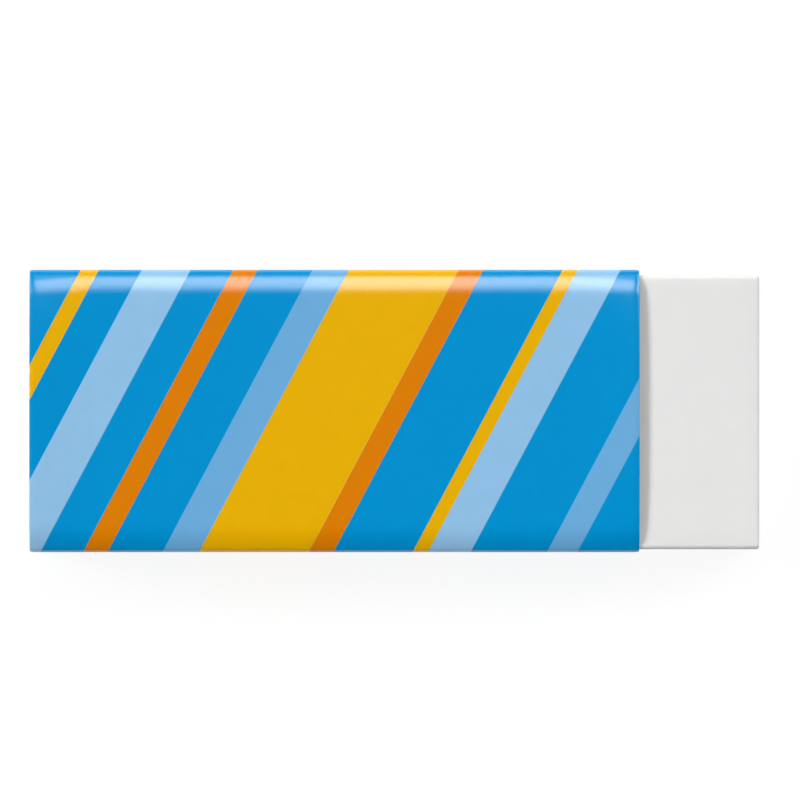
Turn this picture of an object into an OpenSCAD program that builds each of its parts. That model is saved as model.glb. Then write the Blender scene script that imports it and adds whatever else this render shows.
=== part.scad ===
// Block eraser in a folded card sleeve, lying on its broad face.
// Millimetres. X runs along the block towards its bare working end, +Z is up.
// The origin is under the middle of the block, on the surface that it lies on.

/* [Block] */
// Length of the block
block_len = 62; // [50:0.5:75]
// Width of the block's broad faces
block_w = 23.3; // [18:0.1:30]
// Thickness of the block
block_h = 12; // [9:0.1:15]
// Radius of the block's four long edges
edge_r = 0.4; // [0.3:0.05:2]
// Radius that eases the edges of the two cut ends
end_r = 0.25; // [0.1:0.05:0.5]

/* [Sleeve] */
// Length of block that the sleeve leaves bare
bare_len = 10.2; // [5:0.1:20]
// Thickness of the card
card_t = 0.2; // [0.15:0.01:0.35]
// Clearance between the card and the block, at the sides and below
slide_gap = 0.05; // [0.02:0.01:0.1]
// Angle through which the top panel springs up beside each of its folds
spring_deg = 26; // [5:1:35]
// Radius of the card where it springs up
spring_r = 4; // [1:0.1:6]
// How far the inner flap stops short of the fold above it
flap_short = 0.5; // [0.2:0.05:1.5]
// How far the outer flap stops short of the fold below it
lap_short = 0.7; // [0.2:0.05:1.5]

/* [Hidden] */
$fn = 96;
OVER = 1; // how far a cutting shape runs past the card

VINYL_WHITE = "#e7e7e5";
BLUE = "#0190d0";
SKY = "#6cacdc";
PALE = "#91c1e7";
YELLOW = "#e9b002";
ORANGE = "#dd7e05";

// The sleeve's inner half width and half height, and the radius inside its folds
in_y = block_w / 2 + slide_gap;
in_z = block_h / 2 + slide_gap;
fold_r = edge_r + slide_gap;
// Half the flat stretch between two folds, across and up, and across the sprung top panel
flat_y = in_y - fold_r;
flat_z = in_z - fold_r;
top_flat_y = in_y - fold_r * (1 - sin(spring_deg)) - spring_r * sin(spring_deg);

sleeve_len = block_len - bare_len;
sleeve_x = -block_len / 2; // the sleeve's far end is level with the block's
mid_z = card_t + in_z; // height of the block's middle line

// The printed bands lean over the sleeve: ink, then start and end as shares of its length
LEAN = 28;
BANDS = [
    [YELLOW, -0.54, -0.51],
    [PALE, -0.44, -0.36],
    [ORANGE, -0.29, -0.25],
    [SKY, -0.16, -0.10],
    [YELLOW, -0.10, 0.08],
    [ORANGE, 0.08, 0.12],
    [YELLOW, 0.25, 0.275],
    [PALE, 0.275, 0.345],
    [SKY, 0.47, 0.52]
];

// A rectangle about the origin with its four corners rounded
module eased_rect(size, r) {
    square([size.x - 2 * r, size.y], center = true);
    square([size.x, size.y - 2 * r], center = true);
    for (sx = [-1, 1], sy = [-1, 1])
        translate([sx * (size.x / 2 - r), sy * (size.y / 2 - r)]) circle(r);
}

// One long edge of the block: a rod along X with eased ends
module edge_rod() {
    rotate([0, 90, 0]) rotate_extrude() intersection() {
        eased_rect([2 * edge_r, block_len], end_r);
        translate([0, -block_len / 2]) square([edge_r, block_len]);
    }
}

module eraser_block() {
    color(VINYL_WHITE) translate([0, 0, mid_z]) {
        linear_extrude(block_h - 2 * edge_r, center = true)
            eased_rect([block_len, block_w], end_r);
        rotate([90, 0, 0]) linear_extrude(block_w - 2 * edge_r, center = true)
            eased_rect([block_len, block_h], end_r);
        for (sy = [-1, 1], sz = [-1, 1])
            translate([0, sy * (block_w / 2 - edge_r), sz * (block_h / 2 - edge_r)])
                edge_rod();
    }
}

// The card is one strip, drawn as it is folded. Each step lays its stretch along X with the
// inner face on top, then carries the rest of the strip to its own end.
module flat(len) {
    translate([0, -card_t]) square([len, card_t]);
    translate([len, 0]) children();
}

module bend(r, deg) {
    far = 2 * (r + card_t);
    translate([0, r]) intersection() {
        difference() {
            circle(r + card_t);
            circle(r);
        }
        polygon([
            [0, 0],
            [0, -far],
            [far * tan(deg / 2), -far],
            [far * sin(deg), -far * cos(deg)]
        ]);
    }
    translate([r * sin(deg), r * (1 - cos(deg))]) rotate(deg) children();
}

// Section across the sleeve, from the free edge of the outer flap round to the inner flap's.
// The outer flap lies over the inner one, so the top panel is longer by one thickness of card.
module sleeve_section() {
    translate([in_y + card_t, lap_short - flat_z]) rotate(90)
        flat(2 * flat_z - lap_short)
        bend(fold_r, 90 - spring_deg) bend(spring_r, spring_deg)
        flat(2 * top_flat_y + card_t)
        bend(spring_r, spring_deg) bend(fold_r, 90 - spring_deg)
        flat(2 * flat_z) bend(fold_r, 90)
        flat(2 * flat_y) bend(fold_r, 90)
        flat(2 * flat_z - flap_short);
}

module sleeve_wall() {
    translate([sleeve_x, 0, mid_z]) rotate([90, 0, 90]) linear_extrude(sleeve_len)
        sleeve_section();
}

// The slanting slice of space that a printed band fills, from share a to share b
module band_slice(a, b) {
    reach = in_y + 2 * card_t + OVER;
    shift = reach * tan(LEAN);
    translate([sleeve_x + sleeve_len / 2, 0, -OVER]) linear_extrude(2 * (mid_z + OVER)) polygon([
        [a * sleeve_len - shift, -reach],
        [b * sleeve_len - shift, -reach],
        [b * sleeve_len + shift, reach],
        [a * sleeve_len + shift, reach]
    ]);
}

module card_sleeve() {
    color(BLUE) difference() {
        sleeve_wall();
        for (band = BANDS) band_slice(band[1], band[2]);
    }
    for (band = BANDS) color(band[0]) intersection() {
        sleeve_wall();
        band_slice(band[1], band[2]);
    }
}

eraser_block();
card_sleeve();
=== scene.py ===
"""Looks of a white block eraser in a folded, printed card sleeve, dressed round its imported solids.

The block lies along X with its bare end at +X, and the photograph is taken from straight above.
"""

import math

import bmesh
import bpy
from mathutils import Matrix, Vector


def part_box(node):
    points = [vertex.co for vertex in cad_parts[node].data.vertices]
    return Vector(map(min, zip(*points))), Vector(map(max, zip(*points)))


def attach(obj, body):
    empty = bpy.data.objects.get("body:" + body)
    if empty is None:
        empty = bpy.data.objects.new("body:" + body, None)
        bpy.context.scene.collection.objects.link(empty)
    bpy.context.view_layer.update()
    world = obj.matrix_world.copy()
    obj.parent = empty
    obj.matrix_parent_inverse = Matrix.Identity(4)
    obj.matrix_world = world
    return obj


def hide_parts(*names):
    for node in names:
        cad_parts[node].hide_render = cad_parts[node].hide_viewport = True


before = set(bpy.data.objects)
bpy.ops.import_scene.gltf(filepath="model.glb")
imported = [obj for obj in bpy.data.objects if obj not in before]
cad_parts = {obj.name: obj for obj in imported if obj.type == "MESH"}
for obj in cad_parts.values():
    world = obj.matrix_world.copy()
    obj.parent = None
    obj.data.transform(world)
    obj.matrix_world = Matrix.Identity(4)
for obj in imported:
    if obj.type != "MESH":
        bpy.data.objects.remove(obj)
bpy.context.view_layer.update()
block_lo, block_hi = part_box("eraser_block")
sleeve_lo, sleeve_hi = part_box("card_sleeve")

MM = 0.001

# Sizes that the solids' boxes don't give
CARD = 0.2 * MM
SLIDE_GAP = 0.05 * MM
BLOCK_EDGE_R = 0.4 * MM
CUT_END_R = 0.25 * MM
FOLD_R = BLOCK_EDGE_R + SLIDE_GAP

# How far the inner and the outer flap stop short of the folds, and the glue between the two
FLAP_SHORT = 0.5 * MM
LAP_SHORT = 0.7 * MM
GLUE = 0.01 * MM

# The top panel springs off the block beside its folds, through this many degrees at this radius
SHOULDER = 26
SHOULDER_R = 4.0 * MM

# It also stands off in the middle of its width, and further towards the sleeve's two mouths
BOW = 0.05 * MM
FLARE = 0.22 * MM
FLARE_START = 5 * MM

# The blade that cut the card has pressed it thinner along both ends, and its cut edges are broken
CRUSH = 0.08 * MM
CRUSH_START = 0.3 * MM
BROKEN_EDGE = 0.04 * MM

# Faces of the card across the sleeve: on its wide and narrow panels, and round its bends
WIDE_FACES, NARROW_FACES = 40, 16
FOLD_FACES, TOP_FOLD_FACES, SHOULDER_FACES = 20, 18, 10
# Points of the card along the sleeve, and how close two points are to be made one
STATIONS = 53
WELD = 0.0001 * MM

# Inks, as linear light
BLUE = (0.000, 0.279, 0.631)
SKY = (0.150, 0.413, 0.716)
PALE = (0.283, 0.533, 0.799)
YELLOW = (0.815, 0.434, 0.001)
ORANGE = (0.723, 0.209, 0.001)
INK_EDGE = 0.04 * MM

# Printed bands: ink, then start and end as shares of the sleeve's length
LEAN = math.radians(28)
BANDS = [
    (YELLOW, -0.54, -0.51),
    (PALE, -0.44, -0.36),
    (ORANGE, -0.29, -0.25),
    (SKY, -0.16, -0.10),
    (YELLOW, -0.10, 0.08),
    (ORANGE, 0.08, 0.12),
    (YELLOW, 0.25, 0.275),
    (PALE, 0.275, 0.345),
    (SKY, 0.47, 0.52),
]

# Whites of the vinyl and of the card's inside and cut edges, as linear light
VINYL_WHITE = (0.77, 0.77, 0.763)
INSIDE_WHITE = (0.74, 0.73, 0.70)
EDGE_WHITE = (0.83, 0.82, 0.79)

# How a grain is stretched, axis by axis: less than 1 draws it out along that axis
EVEN = (1, 1, 1)
ALONG_SLEEVE = (0.4, 1, 1)
DOWN_CUT = (1, 1, 0.12)

# Heights of the surfaces' relief
VARNISH_RELIEF = 0.006 * MM
FIBRE_RELIEF = 0.016 * MM
SKIN_RELIEF = 0.006 * MM
CUT_RELIEF = 0.02 * MM

# The light table: how far it reaches, how much light it returns, and how strongly it glows
TABLE_REACH = 3.0
TABLE_TONE = 0.13
TABLE_GLOW = 0.91

# The room's soft boxes. After the radiance come angles in degrees: how far the box is turned left
# from the back of the room, half its width inside and outside its soft edge, and the heights
# between which its lower and its upper edge fade.
SOFT_BOXES = {
    "overhead strip": dict(radiance=6.4, turn=0, width=(4, 12), lower=(43, 46), upper=(62, 86)),
    "key on the left": dict(radiance=24.4, turn=78, width=(8, 18), lower=(28, 36), upper=(42, 50)),
    "side on the right": dict(radiance=4.8, turn=-50, width=(13, 27), lower=(20, 30), upper=(61, 69)),
    "fill on the left": dict(radiance=2.5, turn=48, width=(8, 22), lower=(18, 28), upper=(64, 72)),
}
# Radiance of the backdrop that meets the floor, and the heights between which it fades
BACKDROP = 1.05
BACKDROP_FADE = (0.03, 0.08)

# The camera's lens and the width of its film, in millimetres
LENS, FILM = 300, 36

# Where the object's outline lies in the photograph, in its 800 by 800 pixels
PHOTO = 800
OUTLINE_LEFT, OUTLINE_RIGHT = 29.5, 759.5
OUTLINE_TOP, OUTLINE_BOTTOM = 270, 552


def feed(tree, node, sockets):
    """Sets a node's inputs, each to its value or to the output that feeds it."""
    for name, value in dict(sockets).items():
        if isinstance(value, bpy.types.NodeSocket):
            tree.links.new(value, node.inputs[name])
        else:
            node.inputs[name].default_value = value


def put(tree, kind, sockets=(), **settings):
    """Adds a node. sockets maps an input to its value, or to the output that feeds it."""
    made = tree.nodes.new(kind)
    for name, value in settings.items():
        setattr(made, name, value)
    feed(tree, made, sockets)
    return made


def output_of(tree, kind, sockets=(), **settings):
    """Adds a node and returns its first output."""
    return put(tree, kind, sockets, **settings).outputs[0]


def new_group(name, kind, inputs, output):
    """A node group with named inputs and one named output, and the sockets that its inputs give."""
    group = bpy.data.node_groups.new(name, kind)
    for title, socket in inputs.items():
        group.interface.new_socket(title, in_out="INPUT", socket_type=f"NodeSocket{socket}")
    for title, socket in output.items():
        group.interface.new_socket(title, in_out="OUTPUT", socket_type=f"NodeSocket{socket}")
    return group, put(group, "NodeGroupInput").outputs


def calc(tree, operation, *values):
    """The output of a Math node on up to three values or sockets."""
    return output_of(tree, "ShaderNodeMath", enumerate(values), operation=operation)


def product(tree, *values):
    """The product of any number of values and sockets."""
    result = values[0]
    for value in values[1:]:
        result = calc(tree, "MULTIPLY", result, value)
    return result


def rise(tree, value, low, high):
    """0 below low, 1 above high, and a smooth step between them."""
    return output_of(tree, "ShaderNodeMapRange", {"Value": value, "From Min": low, "From Max": high},
                     interpolation_type="SMOOTHSTEP")


def fall(tree, value, low, high):
    """1 below low, 0 above high, and a smooth step between them."""
    return calc(tree, "SUBTRACT", 1.0, rise(tree, value, low, high))


def spread(tree, value, low, high):
    """Maps a value from 0..1 to low..high."""
    return output_of(tree, "ShaderNodeMapRange", {"Value": value, "To Min": low, "To Max": high})


def noise(tree, place, scale, detail=3.0, roughness=0.55):
    """Fractal noise over a place socket, with scale in features a metre."""
    return output_of(tree, "ShaderNodeTexNoise",
                     {"Vector": place, "Scale": scale, "Detail": detail, "Roughness": roughness})


def shaded(tree, colour, amount):
    """A colour made darker or lighter by a value socket."""
    return output_of(tree, "ShaderNodeVectorMath", {0: colour, "Scale": amount}, operation="SCALE")


def object_place(tree, stretch=EVEN):
    """Object coordinates, stretched axis by axis for a grain that runs one way."""
    place = put(tree, "ShaderNodeTexCoord").outputs["Object"]
    return output_of(tree, "ShaderNodeVectorMath", {0: place, 1: stretch}, operation="MULTIPLY")


def new_material(name):
    """A material with an empty tree, and the Principled shader that its finish is set on."""
    material = bpy.data.materials.new(name)
    material.use_nodes = True
    tree = material.node_tree
    tree.nodes.clear()
    shader = put(tree, "ShaderNodeBsdfPrincipled")
    put(tree, "ShaderNodeOutputMaterial", {"Surface": shader.outputs["BSDF"]})
    return material, tree, shader


def roughen(tree, shader, height, distance):
    """Bumps a surface by a height socket of 0..1, over a real distance."""
    bump = output_of(tree, "ShaderNodeBump", {"Height": height, "Distance": distance, "Strength": 1.0})
    feed(tree, shader, {"Normal": bump})


def band_group():
    """A node group that prints one band over the colour below it."""
    inputs = {"Below": "Color", "Ink": "Color", "Share": "Float",
              "Start": "Float", "End": "Float", "Softness": "Float"}
    group, source = new_group("printed_band", "ShaderNodeTree", inputs, {"Printed": "Color"})
    after = calc(group, "SUBTRACT", source["Share"], source["Start"])
    before = calc(group, "SUBTRACT", source["End"], source["Share"])
    inside = calc(group, "DIVIDE", calc(group, "MINIMUM", after, before), source["Softness"])
    amount = output_of(group, "ShaderNodeMath", {0: inside, 1: 0.5}, operation="ADD", use_clamp=True)
    # The Mix node's colours are its inputs 6 and 7 and its output 2
    printed = put(group, "ShaderNodeMix", {0: amount, 6: source["Below"], 7: source["Ink"]},
                  data_type="RGBA")
    put(group, "NodeGroupOutput", {"Printed": printed.outputs[2]})
    return group


def printed_card():
    """Gloss varnished card, printed with leaning bands that run on round the folds."""
    material, tree, shader = new_material("printed_card")
    middle, length = (sleeve_lo.x + sleeve_hi.x) / 2, sleeve_hi.x - sleeve_lo.x
    place = object_place(tree)
    axes = put(tree, "ShaderNodeSeparateXYZ", {0: place}).outputs
    lean = calc(tree, "MULTIPLY", axes["Y"], math.tan(LEAN))
    along = calc(tree, "SUBTRACT", calc(tree, "SUBTRACT", axes["X"], middle), lean)
    share = calc(tree, "DIVIDE", along, length)
    group = band_group()
    colour = (*BLUE, 1)
    for ink, start, end in BANDS:
        sockets = {"Below": colour, "Ink": (*ink, 1), "Share": share, "Start": start, "End": end,
                   "Softness": INK_EDGE / length}
        colour = output_of(tree, "ShaderNodeGroup", sockets, node_tree=group)
    mottle = spread(tree, noise(tree, place, scale=900, detail=4), low=0.96, high=1.04)
    varnish = spread(tree, noise(tree, place, scale=2500), low=0.14, high=0.22)
    feed(tree, shader, {"Base Color": shaded(tree, colour, mottle), "Roughness": varnish, "IOR": 1.65})
    grain = calc(tree, "MULTIPLY", noise(tree, place, scale=3500, detail=4, roughness=0.6), 0.25)
    waves = noise(tree, place, scale=260, detail=2)
    roughen(tree, shader, calc(tree, "ADD", grain, waves), VARNISH_RELIEF)
    return material


def bare_card(name, white, stretch):
    """Unprinted card: a fibrous matt white, whose fibres run as stretch says."""
    material, tree, shader = new_material(name)
    fibres = noise(tree, object_place(tree, stretch), scale=3000, detail=5, roughness=0.65)
    tone = shaded(tree, white, spread(tree, fibres, low=0.86, high=1.06))
    feed(tree, shader, {"Base Color": tone, "Roughness": 0.9})
    roughen(tree, shader, fibres, FIBRE_RELIEF)
    return material


def vinyl(name, stretch, relief):
    """White vinyl, faintly translucent. stretch and relief set the marks on its surface."""
    material, tree, shader = new_material(name)
    cloud = spread(tree, noise(tree, object_place(tree), scale=350), low=0.975, high=1.02)
    marks = noise(tree, object_place(tree, stretch), scale=2200, detail=4, roughness=0.6)
    feed(tree, shader, {
        "Base Color": shaded(tree, VINYL_WHITE, cloud),
        "Roughness": spread(tree, marks, low=0.62, high=0.78),
        "Specular IOR Level": 0.3,
        "Subsurface Weight": 0.5,
        "Subsurface Radius": (1.0, 0.9, 0.8),
        "Subsurface Scale": 0.4 * MM,
    })
    roughen(tree, shader, marks, relief)
    return material


def light_table():
    """A white that glows, and so takes most of the shadow away."""
    material, tree, shader = new_material("light_table")
    tone = spread(tree, noise(tree, object_place(tree), scale=3), low=0.99, high=1.0)
    feed(tree, shader, {
        "Base Color": shaded(tree, (TABLE_TONE,) * 3, tone),
        "Roughness": 0.9,
        "Specular IOR Level": 0.0,
        "Emission Color": (1, 1, 1, 1),
        "Emission Strength": TABLE_GLOW,
    })
    return material


def section_rows(half_y, half_z, radius, flats, arc):
    """Rows across a rounded section, each a height and the half width there, from bottom to top."""
    turns = [math.radians(90 * i / arc) for i in range(arc + 1)]
    straight = half_z - radius
    upper = [(straight + radius * math.sin(t), half_y - radius + radius * math.cos(t)) for t in turns]
    middle = [(straight * (2 * i / flats - 1), half_y) for i in range(1, flats)]
    return [(-z, y) for z, y in reversed(upper)] + middle + upper


def rim(grid):
    """The outer points of a grid of points, in order round it."""
    inner = grid[1:-1]
    return grid[0] + [row[-1] for row in inner] + grid[-1][::-1] + [row[0] for row in inner][::-1]


def block_mesh():
    """The block: its section lofted along X, with eased ends that a grid of faces closes.

    The two cut ends take the mesh's second material.
    """
    centre, half = (block_lo + block_hi) / 2, (block_hi - block_lo) / 2
    # Faces across the block, up its sides, round its long edges, along it, and round its ends' edges
    columns, flats, arc, stations, ease = 24, 6, 10, 60, 5

    def grid_at(x, inset):
        rows = section_rows(half.y - inset, half.z - inset, BLOCK_EDGE_R - inset, flats, arc)
        return [[Vector((centre.x + x, centre.y + w * (2 * c / columns - 1), centre.z + z))
                 for c in range(columns + 1)] for z, w in rows]

    turns = [math.radians(90 * i / ease) for i in range(ease + 1)]
    easing = [(CUT_END_R * math.sin(t), CUT_END_R * (1 - math.cos(t))) for t in turns]
    flat = half.x - CUT_END_R
    steps = [(-flat - out, inset) for out, inset in reversed(easing)]
    steps += [(flat * (2 * i / stations - 1), 0) for i in range(1, stations)]
    steps += [(flat + out, inset) for out, inset in easing]
    mesh = bmesh.new()
    rings = [[mesh.verts.new(p) for p in rim(grid_at(*step))] for step in steps]
    count = len(rings[0])
    for here, there in zip(rings, rings[1:]):
        for i in range(count):
            j = (i + 1) % count
            mesh.faces.new([here[i], there[i], there[j], here[j]])
    for step, ring in ((steps[0], rings[0]), (steps[-1], rings[-1])):
        grid = grid_at(*step)
        shared = {tuple(p): v for p, v in zip(rim(grid), ring)}
        table = [[shared.get(tuple(p)) or mesh.verts.new(p) for p in row] for row in grid]
        for low, high in zip(table, table[1:]):
            for c in range(columns):
                face = mesh.faces.new([low[c], low[c + 1], high[c + 1], high[c]])
                face.material_index = 1
    bmesh.ops.recalc_face_normals(mesh, faces=mesh.faces)
    data = bpy.data.meshes.new("vinyl_block")
    mesh.to_mesh(data)
    mesh.free()
    data.shade_smooth()
    return data


def card_path():
    """The card's inner face across the sleeve, as an open line walked from the outer flap's free edge.

    The outer flap lies over the inner one, so the walk starts one thickness of card further out.
    """
    half_y, half_z = -sleeve_lo.y - CARD, (block_hi.z - block_lo.z) / 2 + SLIDE_GAP
    middle, flat_y, flat_z = (block_hi.z + block_lo.z) / 2, half_y - FOLD_R, half_z - FOLD_R
    outer = half_y + CARD + GLUE
    heading = math.radians(90)
    points = [(outer, LAP_SHORT - flat_z)]

    def run(length, faces):
        y, z = points[-1]
        for i in range(1, faces + 1):
            step = length * i / faces
            points.append((y + step * math.cos(heading), z + step * math.sin(heading)))

    def bend(radius, degrees, faces):
        nonlocal heading
        y, z = points[-1]
        first = heading
        for i in range(1, faces + 1):
            heading = first + math.radians(degrees) * i / faces
            points.append((y + radius * (math.sin(heading) - math.sin(first)),
                           z - radius * (math.cos(heading) - math.cos(first))))

    lean = math.sin(math.radians(SHOULDER))
    shoulder = FOLD_R * (1 - lean) + SHOULDER_R * lean
    run(2 * flat_z - LAP_SHORT, NARROW_FACES)
    bend(FOLD_R, 90 - SHOULDER, TOP_FOLD_FACES)
    bend(SHOULDER_R, SHOULDER, SHOULDER_FACES)
    run(outer + half_y - 2 * shoulder, WIDE_FACES)
    bend(SHOULDER_R, SHOULDER, SHOULDER_FACES)
    bend(FOLD_R, 90 - SHOULDER, TOP_FOLD_FACES)
    run(2 * flat_z, NARROW_FACES)
    bend(FOLD_R, 90, FOLD_FACES)
    run(2 * flat_y, WIDE_FACES)
    bend(FOLD_R, 90, FOLD_FACES)
    run(2 * flat_z - FLAP_SHORT, NARROW_FACES)
    mesh = bpy.data.meshes.new("card_path")
    edges = [(i, i + 1) for i in range(len(points) - 1)]
    mesh.from_pydata([((sleeve_lo.x + sleeve_hi.x) / 2, y, middle + z) for y, z in points], edges, [])
    return mesh


def crowded_line(tree, half, stations):
    """A line along X, whose stations crowd towards its two ends as a sine does."""
    start = output_of(tree, "ShaderNodeCombineXYZ", {"X": calc(tree, "MULTIPLY", half, -1)})
    end = output_of(tree, "ShaderNodeCombineXYZ", {"X": half})
    line = output_of(tree, "GeometryNodeCurvePrimitiveLine", {"Start": start, "End": end})
    line = output_of(tree, "GeometryNodeResampleCurve", {0: line, "Count": stations}, mode="COUNT")
    x = output_of(tree, "ShaderNodeSeparateXYZ", {0: output_of(tree, "GeometryNodeInputPosition")})
    turn = calc(tree, "MULTIPLY", calc(tree, "DIVIDE", x, half), math.pi / 2)
    crowded = calc(tree, "MULTIPLY", calc(tree, "SINE", turn), half)
    place = output_of(tree, "ShaderNodeCombineXYZ", {"X": crowded})
    return output_of(tree, "GeometryNodeSetPosition", {0: line, "Position": place})


def panel_lift(tree, source, axes, from_end):
    """How far the top panel is lifted: by its bow, and by the flare at the sleeve's mouths."""
    y = calc(tree, "DIVIDE", axes["Y"], source["Half width"])
    y_squared = calc(tree, "MULTIPLY", y, y)
    arch = calc(tree, "SUBTRACT", 1, calc(tree, "MULTIPLY", y_squared, y_squared))
    top = calc(tree, "GREATER_THAN", axes["Z"], 0)
    flare = calc(tree, "MULTIPLY", fall(tree, from_end, 0, source["Flare start"]), source["Flare"])
    height = calc(tree, "ADD", source["Bow"], flare)
    return product(tree, calc(tree, "MAXIMUM", arch, 0), top, height)


def pressed_thickness(tree, source, from_end):
    """The card's thickness, which is pressed thinner along both ends of the sleeve."""
    share = calc(tree, "MINIMUM", calc(tree, "DIVIDE", from_end, source["Crush start"]), 1)
    pressed = calc(tree, "POWER", calc(tree, "SUBTRACT", 1, share), 2)
    return calc(tree, "SUBTRACT", source["Card"], calc(tree, "MULTIPLY", pressed, source["Crush"]))


def folded_card_tree():
    """Geometry Nodes that sweep a line across the sleeve along X and give it the card's thickness."""
    inputs = {"Path": "Geometry", "Length": "Float", "Card": "Float", "Stations": "Int",
              "Middle": "Vector", "Half width": "Float", "Bow": "Float", "Flare": "Float",
              "Flare start": "Float", "Crush": "Float", "Crush start": "Float",
              "Print": "Material", "Inside": "Material", "Cut edge": "Material"}
    tree, source = new_group("folded_card", "GeometryNodeTree", inputs, {"Sleeve": "Geometry"})
    half = calc(tree, "MULTIPLY", source["Length"], 0.5)

    path = output_of(tree, "GeometryNodeMeshToCurve", {0: source["Path"]})
    across = output_of(tree, "GeometryNodeSetCurveNormal", {0: path, "Normal": (1, 0, 0)}, mode="FREE")
    line = crowded_line(tree, half, source["Stations"])
    sheet = output_of(tree, "GeometryNodeCurveToMesh", {"Curve": across, "Profile Curve": line})
    sheet = output_of(tree, "GeometryNodeFlipFaces", {0: sheet})

    position = output_of(tree, "GeometryNodeInputPosition")
    place = output_of(tree, "ShaderNodeVectorMath", {0: position, 1: source["Middle"]},
                      operation="SUBTRACT")
    axes = put(tree, "ShaderNodeSeparateXYZ", {0: place}).outputs
    from_end = calc(tree, "SUBTRACT", half, calc(tree, "ABSOLUTE", axes["X"]))
    lift = output_of(tree, "ShaderNodeCombineXYZ", {"Z": panel_lift(tree, source, axes, from_end)})
    sheet = output_of(tree, "GeometryNodeSetPosition", {0: sheet, "Offset": lift})

    thickness = pressed_thickness(tree, source, from_end)
    thick = put(tree, "GeometryNodeExtrudeMesh",
                {"Mesh": sheet, "Offset Scale": thickness, "Individual": False}, mode="FACES").outputs
    front = output_of(tree, "GeometryNodeSetMaterial",
                      {0: thick["Mesh"], "Selection": thick["Top"], "Material": source["Print"]})
    front = output_of(tree, "GeometryNodeSetMaterial",
                      {0: front, "Selection": thick["Side"], "Material": source["Cut edge"]})
    back = output_of(tree, "GeometryNodeFlipFaces", {0: sheet})
    back = output_of(tree, "GeometryNodeSetMaterial", {0: back, "Material": source["Inside"]})
    join = put(tree, "GeometryNodeJoinGeometry", {0: front})
    feed(tree, join, {0: back})
    whole = output_of(tree, "GeometryNodeMergeByDistance", {0: join.outputs[0], "Distance": WELD})
    whole = output_of(tree, "GeometryNodeSetShadeSmooth", {0: whole})
    whole = output_of(tree, "GeometryNodeRealizeInstances", {0: whole})
    put(tree, "NodeGroupOutput", {0: whole})
    return tree


def give_inputs(modifier, values):
    """Sets a Geometry Nodes modifier's inputs by their names."""
    for item in modifier.node_group.interface.items_tree:
        if item.item_type == "SOCKET" and item.in_out == "INPUT" and item.name in values:
            modifier[item.identifier] = values[item.name]


def drop_empty_slots(mesh):
    """Takes out the material slots that Geometry Nodes leave empty. The faces keep their materials."""
    for index in reversed(range(len(mesh.materials))):
        if mesh.materials[index] is None:
            mesh.materials.pop(index=index)


def add(name, data):
    """A new object in the scene, at the origin."""
    made = bpy.data.objects.new(name, data)
    bpy.context.scene.collection.objects.link(made)
    return made


def sleeve_mesh(outside, inside, edge):
    """The card sleeve, folded from one strip, with its cut edges just broken."""
    strip = add("strip", card_path())
    fold = strip.modifiers.new("fold", "NODES")
    fold.node_group = folded_card_tree()
    give_inputs(fold, {
        "Length": sleeve_hi.x - sleeve_lo.x,
        "Card": CARD,
        "Stations": STATIONS,
        "Middle": (sleeve_lo + sleeve_hi) / 2,
        "Half width": -sleeve_lo.y - CARD - FOLD_R,
        "Bow": BOW,
        "Flare": FLARE,
        "Flare start": FLARE_START,
        "Crush": CRUSH,
        "Crush start": CRUSH_START,
        "Print": outside,
        "Inside": inside,
        "Cut edge": edge,
    })
    broken = strip.modifiers.new("broken_edges", "BEVEL")
    broken.width, broken.segments = BROKEN_EDGE, 3
    broken.limit_method, broken.angle_limit = "ANGLE", math.radians(60)
    graph = bpy.context.evaluated_depsgraph_get()
    mesh = bpy.data.meshes.new_from_object(strip.evaluated_get(graph), depsgraph=graph)
    bpy.data.objects.remove(strip)
    drop_empty_slots(mesh)
    mesh.name = "folded_card"
    return mesh


def finish_piece(name, mesh, body, node):
    """Puts a mesh in the scene as a piece that stands for a node and moves with its body."""
    piece = add(name, mesh)
    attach(piece, body)
    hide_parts(node)


def make_block():
    """The vinyl block, with smooth long faces and the blade's marks down its two cut ends."""
    mesh = block_mesh()
    mesh.materials.append(vinyl("vinyl_skin", EVEN, SKIN_RELIEF))
    mesh.materials.append(vinyl("vinyl_cut", DOWN_CUT, CUT_RELIEF))
    finish_piece("vinyl_block", mesh, "block", "eraser_block")


def make_sleeve():
    """The card sleeve, printed outside and bare inside and along its cut edges."""
    inside = bare_card("bare_card", INSIDE_WHITE, ALONG_SLEEVE)
    edge = bare_card("cut_card", EDGE_WHITE, EVEN)
    mesh = sleeve_mesh(printed_card(), inside, edge)
    finish_piece("folded_card", mesh, "sleeve", "card_sleeve")


def make_floor():
    """The light table that the eraser lies on."""
    mesh = bpy.data.meshes.new("table")
    corners = [(-1, -1), (1, -1), (1, 1), (-1, 1)]
    mesh.from_pydata([(x * TABLE_REACH, y * TABLE_REACH, 0) for x, y in corners], [], [(0, 1, 2, 3)])
    mesh.materials.append(light_table())
    add("table", mesh)


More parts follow.
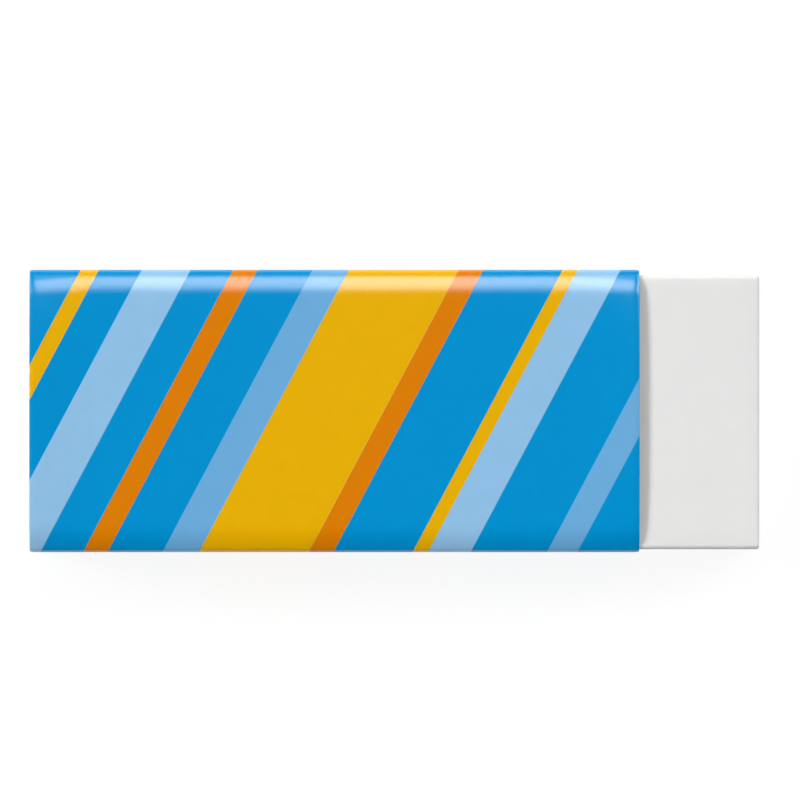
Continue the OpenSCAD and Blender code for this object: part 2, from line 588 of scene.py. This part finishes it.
def toward(tree, x, y, turn):
    """How far a direction points to the room's back, once that is turned left by so many degrees."""
    turn = math.radians(turn)
    return calc(tree, "SUBTRACT", calc(tree, "MULTIPLY", y, math.cos(turn)),
                calc(tree, "MULTIPLY", x, math.sin(turn)))


def soft_box(tree, x, y, elevation, radiance, turn, width, lower, upper):
    """The radiance of a soft box in the direction whose x, y and elevation are given."""
    forward, sideways = toward(tree, x, y, turn), toward(tree, x, y, turn + 90)
    aside = calc(tree, "DEGREES", calc(tree, "ARCTAN2", calc(tree, "ABSOLUTE", sideways), forward))
    return product(tree, fall(tree, aside, *width), rise(tree, elevation, *lower),
                   fall(tree, elevation, *upper), radiance)


def light_room():
    """Soft boxes round a room with a pale backdrop, and a dark ceiling for the gloss to mirror."""
    world = bpy.data.worlds.new("room")
    bpy.context.scene.world = world
    world.use_nodes = True
    tree = world.node_tree
    tree.nodes.clear()
    direction = put(tree, "ShaderNodeTexCoord").outputs["Generated"]
    x, y, z = put(tree, "ShaderNodeSeparateXYZ", {0: direction}).outputs
    elevation = calc(tree, "DEGREES", calc(tree, "ARCSINE", z))
    total = product(tree, fall(tree, z, *BACKDROP_FADE), BACKDROP)
    for box in SOFT_BOXES.values():
        total = calc(tree, "ADD", total, soft_box(tree, x, y, elevation, **box))
    background = output_of(tree, "ShaderNodeBackground", {"Color": (1, 1, 1, 1), "Strength": total})
    put(tree, "ShaderNodeOutputWorld", {"Surface": background})


def place_camera():
    """The photograph's view: straight down through a long lens, framed on the object's outline."""
    camera = bpy.data.cameras.new("camera")
    camera.lens, camera.sensor_width = LENS, FILM
    per_metre = (OUTLINE_RIGHT - OUTLINE_LEFT) / (block_hi.x - block_lo.x)
    distance = PHOTO / per_metre * LENS / FILM
    x = (block_lo.x + block_hi.x) / 2 + (PHOTO - OUTLINE_LEFT - OUTLINE_RIGHT) / 2 / per_metre
    y = (sleeve_lo.y + sleeve_hi.y) / 2 + (OUTLINE_TOP + OUTLINE_BOTTOM - PHOTO) / 2 / per_metre
    view = add("camera", camera)
    view.location = (x, y, block_hi.z + distance)
    bpy.context.scene.camera = view


make_block()
make_sleeve()
make_floor()
light_room()
place_camera()
bpy.context.scene.view_settings.view_transform = "Standard"
